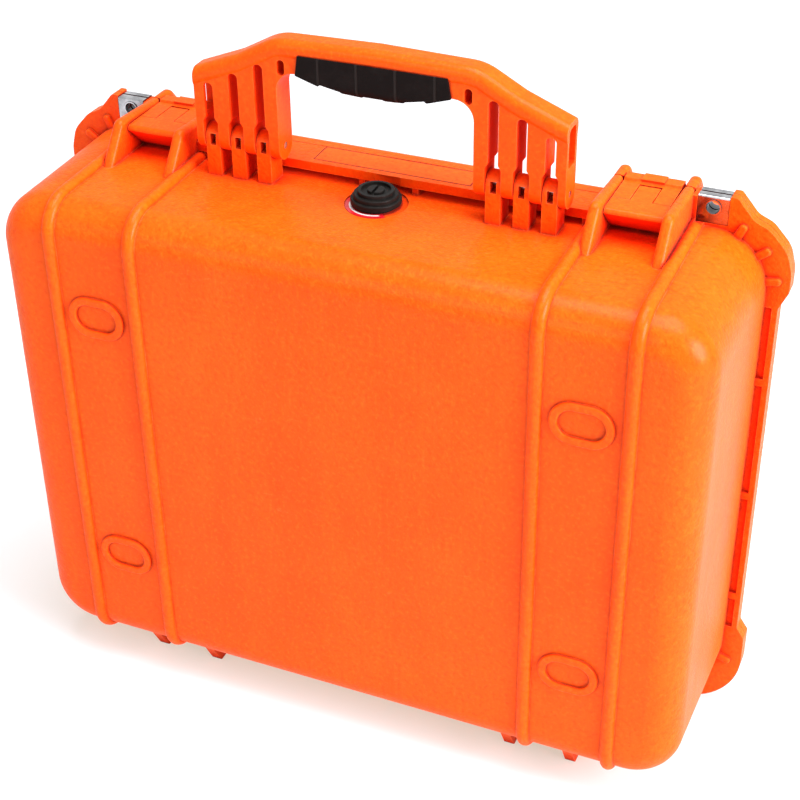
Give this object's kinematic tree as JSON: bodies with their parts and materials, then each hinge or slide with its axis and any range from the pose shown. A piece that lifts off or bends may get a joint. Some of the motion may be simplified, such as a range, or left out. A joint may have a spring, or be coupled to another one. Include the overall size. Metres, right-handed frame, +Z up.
{
  "type": "laptop hard case",
  "caption": "Moulded hard case for a laptop, with hinged lid, folding carrying handle, two lever latches, padlock guards, pressure valve and foam lining.",
  "frame": {"origin": "on the floor, under the middle of the case's bounding box", "axes": "+X along the case's length to the right when its front face is seen, +Y from the base shell to the lid, +Z up; the case stands on its hinge feet with the handle raised"},
  "size_m": [0.498, 0.18, 0.4685],
  "materials": {
    "orange_plastic": "moulded, fine leather grain",
    "black_plastic": "satin",
    "grip_rubber": "matt",
    "seal_rubber": "matt",
    "guard_steel": "bright pressed sheet",
    "pin_steel": "satin",
    "label_film": "printed film without its print",
    "foam": "open-cell foam"
  },
  "bodies": {
    "base": {"base_shell": "orange_plastic", "hinge_pin_left": "pin_steel", "hinge_pin_right": "pin_steel", "valve_body": "black_plastic", "valve_ring": "seal_rubber", "valve_nut": "black_plastic", "valve_label": "label_film", "name_plate": "orange_plastic", "base_foam_pad": "foam", "base_foam_block": "foam", "base_padlock_guard_left": "guard_steel", "base_padlock_guard_right": "guard_steel"},
    "valve_knob": {"valve_knob": "black_plastic"},
    "lid": {"lid_shell": "orange_plastic", "lid_seal": "seal_rubber", "lid_foam": "foam", "lid_padlock_guard_left": "guard_steel", "lid_padlock_guard_right": "guard_steel", "latch_pin_left": "pin_steel", "latch_pin_right": "pin_steel"},
    "handle": {"handle_frame": "orange_plastic", "handle_grip": "grip_rubber", "handle_pin_left": "pin_steel", "handle_pin_right": "pin_steel"},
    "latch_left": {"latch_clamp_left": "orange_plastic", "lever_pin_left": "pin_steel"},
    "latch_right": {"latch_clamp_right": "orange_plastic", "lever_pin_right": "pin_steel"},
    "lever_left": {"latch_lever_left": "orange_plastic"},
    "lever_right": {"latch_lever_right": "orange_plastic"}
  },
  "joints": [
    {"name": "lid_hinge", "type": "hinge", "parent": "base", "child": "lid", "pos_m": [0, 0.042, 0.009], "axis": [-1, 0, 0], "range_deg": [0, 95]},
    {"name": "handle_fold", "type": "hinge", "parent": "base", "child": "handle", "pos_m": [0, -0.001, 0.395], "axis": [1, 0, 0], "range_deg": [0, 90]},
    {"name": "valve_turn", "type": "hinge", "parent": "base", "child": "valve_knob", "pos_m": [0, -0.008, 0.372], "axis": [0, 0, 1], "range_deg": [0, 180]},
    {"name": "latch_left", "type": "hinge", "parent": "lid", "child": "latch_left", "pos_m": [-0.1602, 0.047, 0.3856], "axis": [-1, 0, 0], "range_deg": [0, 120]},
    {"name": "latch_right", "type": "hinge", "parent": "lid", "child": "latch_right", "pos_m": [0.1602, 0.047, 0.3856], "axis": [-1, 0, 0], "range_deg": [0, 120]},
    {"name": "lever_left", "type": "hinge", "parent": "latch_left", "child": "lever_left", "pos_m": [-0.1602, 0.028, 0.3856], "axis": [-1, 0, 0], "range_deg": [0, 45]},
    {"name": "lever_right", "type": "hinge", "parent": "latch_right", "child": "lever_right", "pos_m": [0.1602, 0.028, 0.3856], "axis": [-1, 0, 0], "range_deg": [0, 45]}
  ]
}
